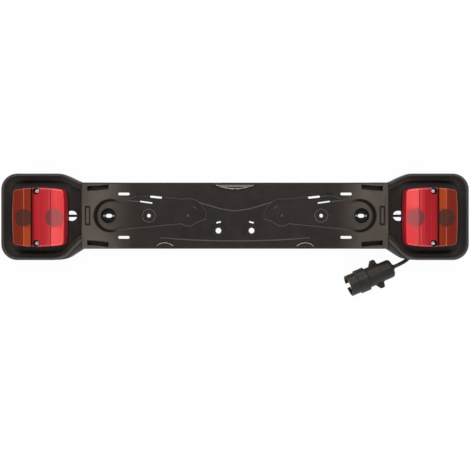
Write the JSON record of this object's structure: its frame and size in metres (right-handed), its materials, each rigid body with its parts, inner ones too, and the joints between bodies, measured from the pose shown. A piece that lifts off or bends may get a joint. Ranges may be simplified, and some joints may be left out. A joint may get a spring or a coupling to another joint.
{
  "type": "trailer lighting board",
  "caption": "Long moulded board with a lamp tray at each end, red and amber lenses, a centre panel with clips and slots for a plate, and a lead ending in a round plug.",
  "frame": {"origin": "under the middle of the board, in the plane of the back edges it rests on", "axes": "+X to the right along the board seen from the front, +Y up the board, +Z out of its front"},
  "size_m": [0.81, 0.2135, 0.058],
  "materials": {
    "board_plastic": "moulded satin black",
    "lamp_plastic": "moulded satin black",
    "red_lens": "clear red, fluted inside",
    "amber_lens": "clear amber, fluted inside",
    "seal_rubber": "soft black",
    "screw_steel": "plated",
    "reflector_sheet": "bright",
    "bulb_glass": "clear",
    "holder_steel": "plated",
    "cable_sheath": "smooth black",
    "tie_plastic": "smooth black",
    "plug_plastic": "moulded black",
    "pin_brass": "bare"
  },
  "bodies": {
    "root": {"board_shell": "board_plastic", "left_lamp_base": "lamp_plastic", "left_lens_gasket": "seal_rubber", "left_red_lens": "red_lens", "left_amber_lens": "amber_lens", "left_lens_screws": "screw_steel", "left_reflector": "reflector_sheet", "left_stop_tail_bulb": "bulb_glass", "left_stop_tail_holder": "holder_steel", "left_indicator_bulb": "bulb_glass", "left_indicator_holder": "holder_steel", "left_lamp_bolts": "screw_steel", "left_lamp_nuts": "screw_steel", "left_link_grommet": "seal_rubber", "right_lamp_base": "lamp_plastic", "right_lens_gasket": "seal_rubber", "right_red_lens": "red_lens", "right_amber_lens": "amber_lens", "right_lens_screws": "screw_steel", "right_reflector": "reflector_sheet", "right_stop_tail_bulb": "bulb_glass", "right_stop_tail_holder": "holder_steel", "right_indicator_bulb": "bulb_glass", "right_indicator_holder": "holder_steel", "right_lamp_bolts": "screw_steel", "right_lamp_nuts": "screw_steel", "right_link_grommet": "seal_rubber", "right_main_grommet": "seal_rubber", "link_cable": "cable_sheath", "main_cable": "cable_sheath", "lamp_lead": "cable_sheath", "cable_coil": "cable_sheath", "cable_tie": "tie_plastic", "plug_shell": "plug_plastic", "plug_insert": "plug_plastic", "plug_cap": "plug_plastic", "plug_seal": "seal_rubber", "plug_pins": "pin_brass"}
  },
  "joints": []
}
